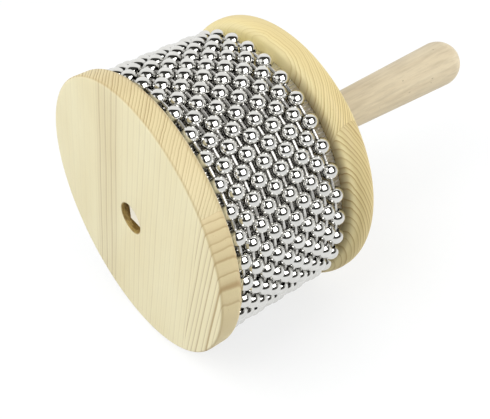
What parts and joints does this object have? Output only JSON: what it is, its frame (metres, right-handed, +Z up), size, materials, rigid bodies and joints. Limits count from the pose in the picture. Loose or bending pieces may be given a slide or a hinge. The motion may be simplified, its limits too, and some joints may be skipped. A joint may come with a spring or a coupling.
{
  "type": "cabasa",
  "caption": "Hand percussion shaker: wooden drum with a ribbed steel sleeve, loose loops of steel ball chain that turn round it, and a turned wooden handle.",
  "frame": {"origin": "on the supporting surface, under the middle of the overall length, with the drum lying on its two discs", "axes": "+X along the drum's axis from the front disc to the handle's tip, +Z up"},
  "size_m": [0.16, 0.1, 0.1],
  "materials": {
    "disc_wood": "satin",
    "core_wood": "sawn",
    "handle_wood": "satin",
    "sleeve_steel": "ribbed",
    "bead_steel": "polished"
  },
  "bodies": {
    "drum": {"front_disc": "disc_wood", "rear_disc": "disc_wood", "core": "core_wood", "handle": "handle_wood", "ribbed_sleeve": "sleeve_steel"},
    "chain_loop_01": {"bead_chain_01": "bead_steel", "chain_links_01": "bead_steel"},
    "chain_loop_02": {"bead_chain_02": "bead_steel", "chain_links_02": "bead_steel"},
    "chain_loop_03": {"bead_chain_03": "bead_steel", "chain_links_03": "bead_steel"},
    "chain_loop_04": {"bead_chain_04": "bead_steel", "chain_links_04": "bead_steel"},
    "chain_loop_05": {"bead_chain_05": "bead_steel", "chain_links_05": "bead_steel"},
    "chain_loop_06": {"bead_chain_06": "bead_steel", "chain_links_06": "bead_steel"},
    "chain_loop_07": {"bead_chain_07": "bead_steel", "chain_links_07": "bead_steel"},
    "chain_loop_08": {"bead_chain_08": "bead_steel", "chain_links_08": "bead_steel"},
    "chain_loop_09": {"bead_chain_09": "bead_steel", "chain_links_09": "bead_steel"},
    "chain_loop_10": {"bead_chain_10": "bead_steel", "chain_links_10": "bead_steel"}
  },
  "joints": [
    {"name": "chain_loop_01_turn", "type": "hinge", "parent": "drum", "child": "chain_loop_01", "pos_m": [0, 0, 0.05], "axis": [1, 0, 0], "continuous": true},
    {"name": "chain_loop_02_turn", "type": "hinge", "parent": "drum", "child": "chain_loop_02", "pos_m": [0, 0, 0.05], "axis": [1, 0, 0], "continuous": true},
    {"name": "chain_loop_03_turn", "type": "hinge", "parent": "drum", "child": "chain_loop_03", "pos_m": [0, 0, 0.05], "axis": [1, 0, 0], "continuous": true},
    {"name": "chain_loop_04_turn", "type": "hinge", "parent": "drum", "child": "chain_loop_04", "pos_m": [0, 0, 0.05], "axis": [1, 0, 0], "continuous": true},
    {"name": "chain_loop_05_turn", "type": "hinge", "parent": "drum", "child": "chain_loop_05", "pos_m": [0, 0, 0.05], "axis": [1, 0, 0], "continuous": true},
    {"name": "chain_loop_06_turn", "type": "hinge", "parent": "drum", "child": "chain_loop_06", "pos_m": [0, 0, 0.05], "axis": [1, 0, 0], "continuous": true},
    {"name": "chain_loop_07_turn", "type": "hinge", "parent": "drum", "child": "chain_loop_07", "pos_m": [0, 0, 0.05], "axis": [1, 0, 0], "continuous": true},
    {"name": "chain_loop_08_turn", "type": "hinge", "parent": "drum", "child": "chain_loop_08", "pos_m": [0, 0, 0.05], "axis": [1, 0, 0], "continuous": true},
    {"name": "chain_loop_09_turn", "type": "hinge", "parent": "drum", "child": "chain_loop_09", "pos_m": [0, 0, 0.05], "axis": [1, 0, 0], "continuous": true},
    {"name": "chain_loop_10_turn", "type": "hinge", "parent": "drum", "child": "chain_loop_10", "pos_m": [0, 0, 0.05], "axis": [1, 0, 0], "continuous": true}
  ],
  "couplings": [
    {"joint": "chain_loop_02_turn", "follows": "chain_loop_01_turn", "ratio": 1},
    {"joint": "chain_loop_03_turn", "follows": "chain_loop_01_turn", "ratio": 1},
    {"joint": "chain_loop_04_turn", "follows": "chain_loop_01_turn", "ratio": 1},
    {"joint": "chain_loop_05_turn", "follows": "chain_loop_01_turn", "ratio": 1},
    {"joint": "chain_loop_06_turn", "follows": "chain_loop_01_turn", "ratio": 1},
    {"joint": "chain_loop_07_turn", "follows": "chain_loop_01_turn", "ratio": 1},
    {"joint": "chain_loop_08_turn", "follows": "chain_loop_01_turn", "ratio": 1},
    {"joint": "chain_loop_09_turn", "follows": "chain_loop_01_turn", "ratio": 1},
    {"joint": "chain_loop_10_turn", "follows": "chain_loop_01_turn", "ratio": 1}
  ]
}
